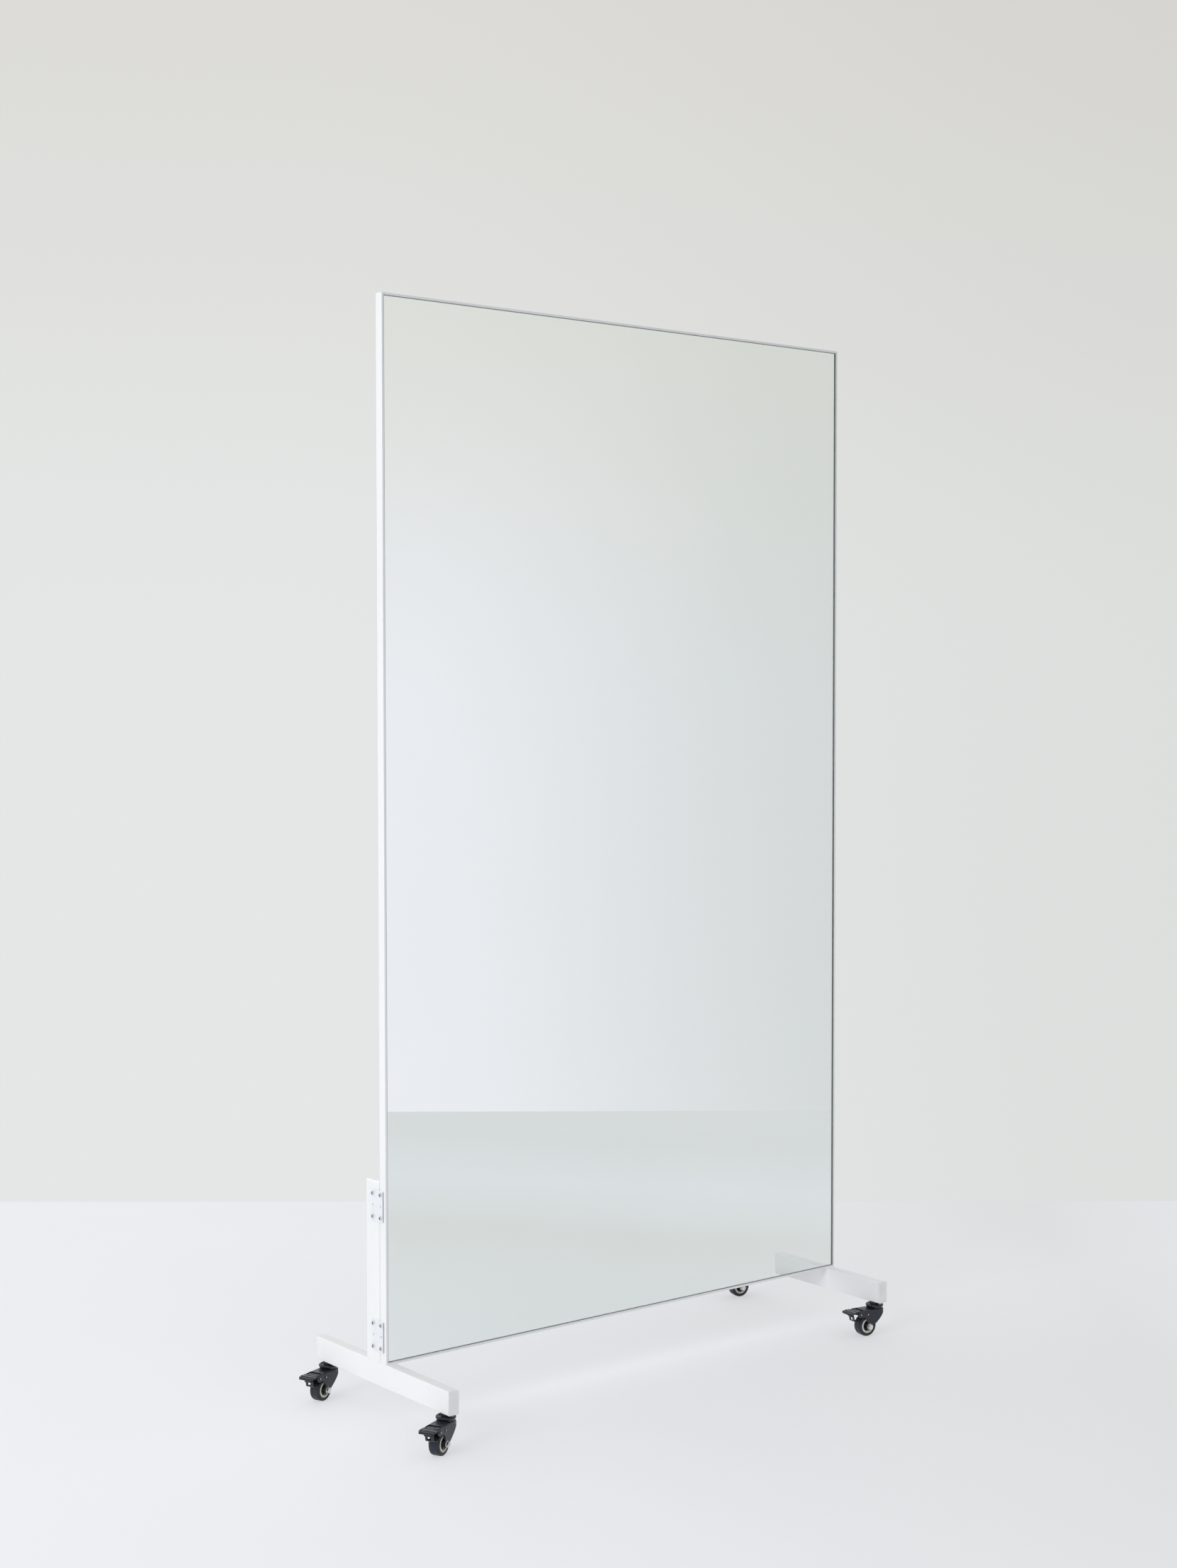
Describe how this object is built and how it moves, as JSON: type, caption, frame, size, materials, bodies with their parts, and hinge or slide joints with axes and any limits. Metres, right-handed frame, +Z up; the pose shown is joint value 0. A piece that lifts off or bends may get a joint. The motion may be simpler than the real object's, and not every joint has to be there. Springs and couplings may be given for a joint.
{
  "type": "rolling floor mirror",
  "caption": "Tall framed mirror held upright between two posts on low feet, rolling on braked swivel casters.",
  "frame": {"origin": "on the floor, midway between the two posts, in the plane through the middle of the posts", "axes": "+Z up, +X along the mirror toward its right side as seen from the front, +Y toward the back; the mirror faces -Y"},
  "size_m": [1.1152, 0.4674, 1.894],
  "materials": {
    "glass": "clear",
    "mirror": "mirror",
    "tape": "foam",
    "board": "plain fibreboard",
    "white_paint": "smooth powder coat",
    "white_plastic": "satin",
    "zinc": "bright zinc plate",
    "steel": "zinc plate",
    "bolt_steel": "bright plate",
    "black_steel": "satin black coat",
    "cream_plastic": "satin",
    "tyre": "smooth rubber"
  },
  "bodies": {
    "stand": {"mirror_glass": "glass", "silvering": "mirror", "mounting_tape": "tape", "back_board": "board", "frame_left_stile": "white_paint", "frame_right_stile": "white_paint", "frame_top_rail": "white_paint", "frame_bottom_rail": "white_paint", "board_screws": "zinc", "left_foot": "white_paint", "right_foot": "white_paint", "weld_nuts": "steel", "left_foot_plugs": "white_plastic", "right_foot_plugs": "white_plastic", "left_post": "white_paint", "right_post": "white_paint", "post_plugs": "white_plastic", "left_upper_plate": "zinc", "left_lower_plate": "zinc", "right_upper_plate": "zinc", "right_lower_plate": "zinc", "plate_screws": "zinc", "caster_stems": "steel", "lock_nuts": "steel", "swivel_balls": "steel", "lf_cup": "black_steel", "lr_cup": "black_steel", "rf_cup": "black_steel", "rr_cup": "black_steel"},
    "lf_swivel": {"lf_fork": "black_steel", "lf_axle": "bolt_steel", "lf_brake_pins": "black_steel"},
    "lf_wheel": {"lf_hub": "cream_plastic", "lf_tyre": "tyre"},
    "lf_brake": {"lf_brake_lever": "black_steel", "lf_brake_shoe": "black_steel"},
    "lr_swivel": {"lr_fork": "black_steel", "lr_axle": "bolt_steel", "lr_brake_pins": "black_steel"},
    "lr_wheel": {"lr_hub": "cream_plastic", "lr_tyre": "tyre"},
    "lr_brake": {"lr_brake_lever": "black_steel", "lr_brake_shoe": "black_steel"},
    "rf_swivel": {"rf_fork": "black_steel", "rf_axle": "bolt_steel", "rf_brake_pins": "black_steel"},
    "rf_wheel": {"rf_hub": "cream_plastic", "rf_tyre": "tyre"},
    "rf_brake": {"rf_brake_lever": "black_steel", "rf_brake_shoe": "black_steel"},
    "rr_swivel": {"rr_fork": "black_steel", "rr_axle": "bolt_steel", "rr_brake_pins": "black_steel"},
    "rr_wheel": {"rr_hub": "cream_plastic", "rr_tyre": "tyre"},
    "rr_brake": {"rr_brake_lever": "black_steel", "rr_brake_shoe": "black_steel"}
  },
  "joints": [
    {"name": "lf_swivel_turn", "type": "hinge", "parent": "stand", "child": "lf_swivel", "pos_m": [-0.515, -0.20046, 0.052], "axis": [0, 0, 1], "continuous": true},
    {"name": "lf_wheel_spin", "type": "hinge", "parent": "lf_swivel", "child": "lf_wheel", "pos_m": [-0.53531, -0.21037, 0.02], "axis": [0.4384, -0.8988, 0], "continuous": true},
    {"name": "lf_brake_press", "type": "hinge", "parent": "lf_swivel", "child": "lf_brake", "pos_m": [-0.55365, -0.21931, 0.045], "axis": [0.4384, -0.8988, 0], "range_deg": [0, 6]},
    {"name": "lr_swivel_turn", "type": "hinge", "parent": "stand", "child": "lr_swivel", "pos_m": [-0.515, 0.16046, 0.052], "axis": [0, 0, 1], "continuous": true},
    {"name": "lr_wheel_spin", "type": "hinge", "parent": "lr_swivel", "child": "lr_wheel", "pos_m": [-0.5361, 0.15236, 0.02], "axis": [0.3584, -0.9336, 0], "continuous": true},
    {"name": "lr_brake_press", "type": "hinge", "parent": "lr_swivel", "child": "lr_brake", "pos_m": [-0.55514, 0.14505, 0.045], "axis": [0.3584, -0.9336, 0], "range_deg": [0, 6]},
    {"name": "rf_swivel_turn", "type": "hinge", "parent": "stand", "child": "rf_swivel", "pos_m": [0.515, -0.16046, 0.052], "axis": [0, 0, 1], "continuous": true},
    {"name": "rf_wheel_spin", "type": "hinge", "parent": "rf_swivel", "child": "rf_wheel", "pos_m": [0.49262, -0.15732, 0.02], "axis": [-0.1392, -0.9903, 0], "continuous": true},
    {"name": "rf_brake_press", "type": "hinge", "parent": "rf_swivel", "child": "rf_brake", "pos_m": [0.47242, -0.15448, 0.045], "axis": [-0.1392, -0.9903, 0], "range_deg": [0, 6]},
    {"name": "rr_swivel_turn", "type": "hinge", "parent": "stand", "child": "rr_swivel", "pos_m": [0.515, 0.20046, 0.052], "axis": [0, 0, 1], "continuous": true},
    {"name": "rr_wheel_spin", "type": "hinge", "parent": "rr_swivel", "child": "rr_wheel", "pos_m": [0.49274, 0.20439, 0.02], "axis": [-0.1736, -0.9848, 0], "continuous": true},
    {"name": "rr_brake_press", "type": "hinge", "parent": "rr_swivel", "child": "rr_brake", "pos_m": [0.47265, 0.20793, 0.045], "axis": [-0.1736, -0.9848, 0], "range_deg": [0, 6]}
  ]
}
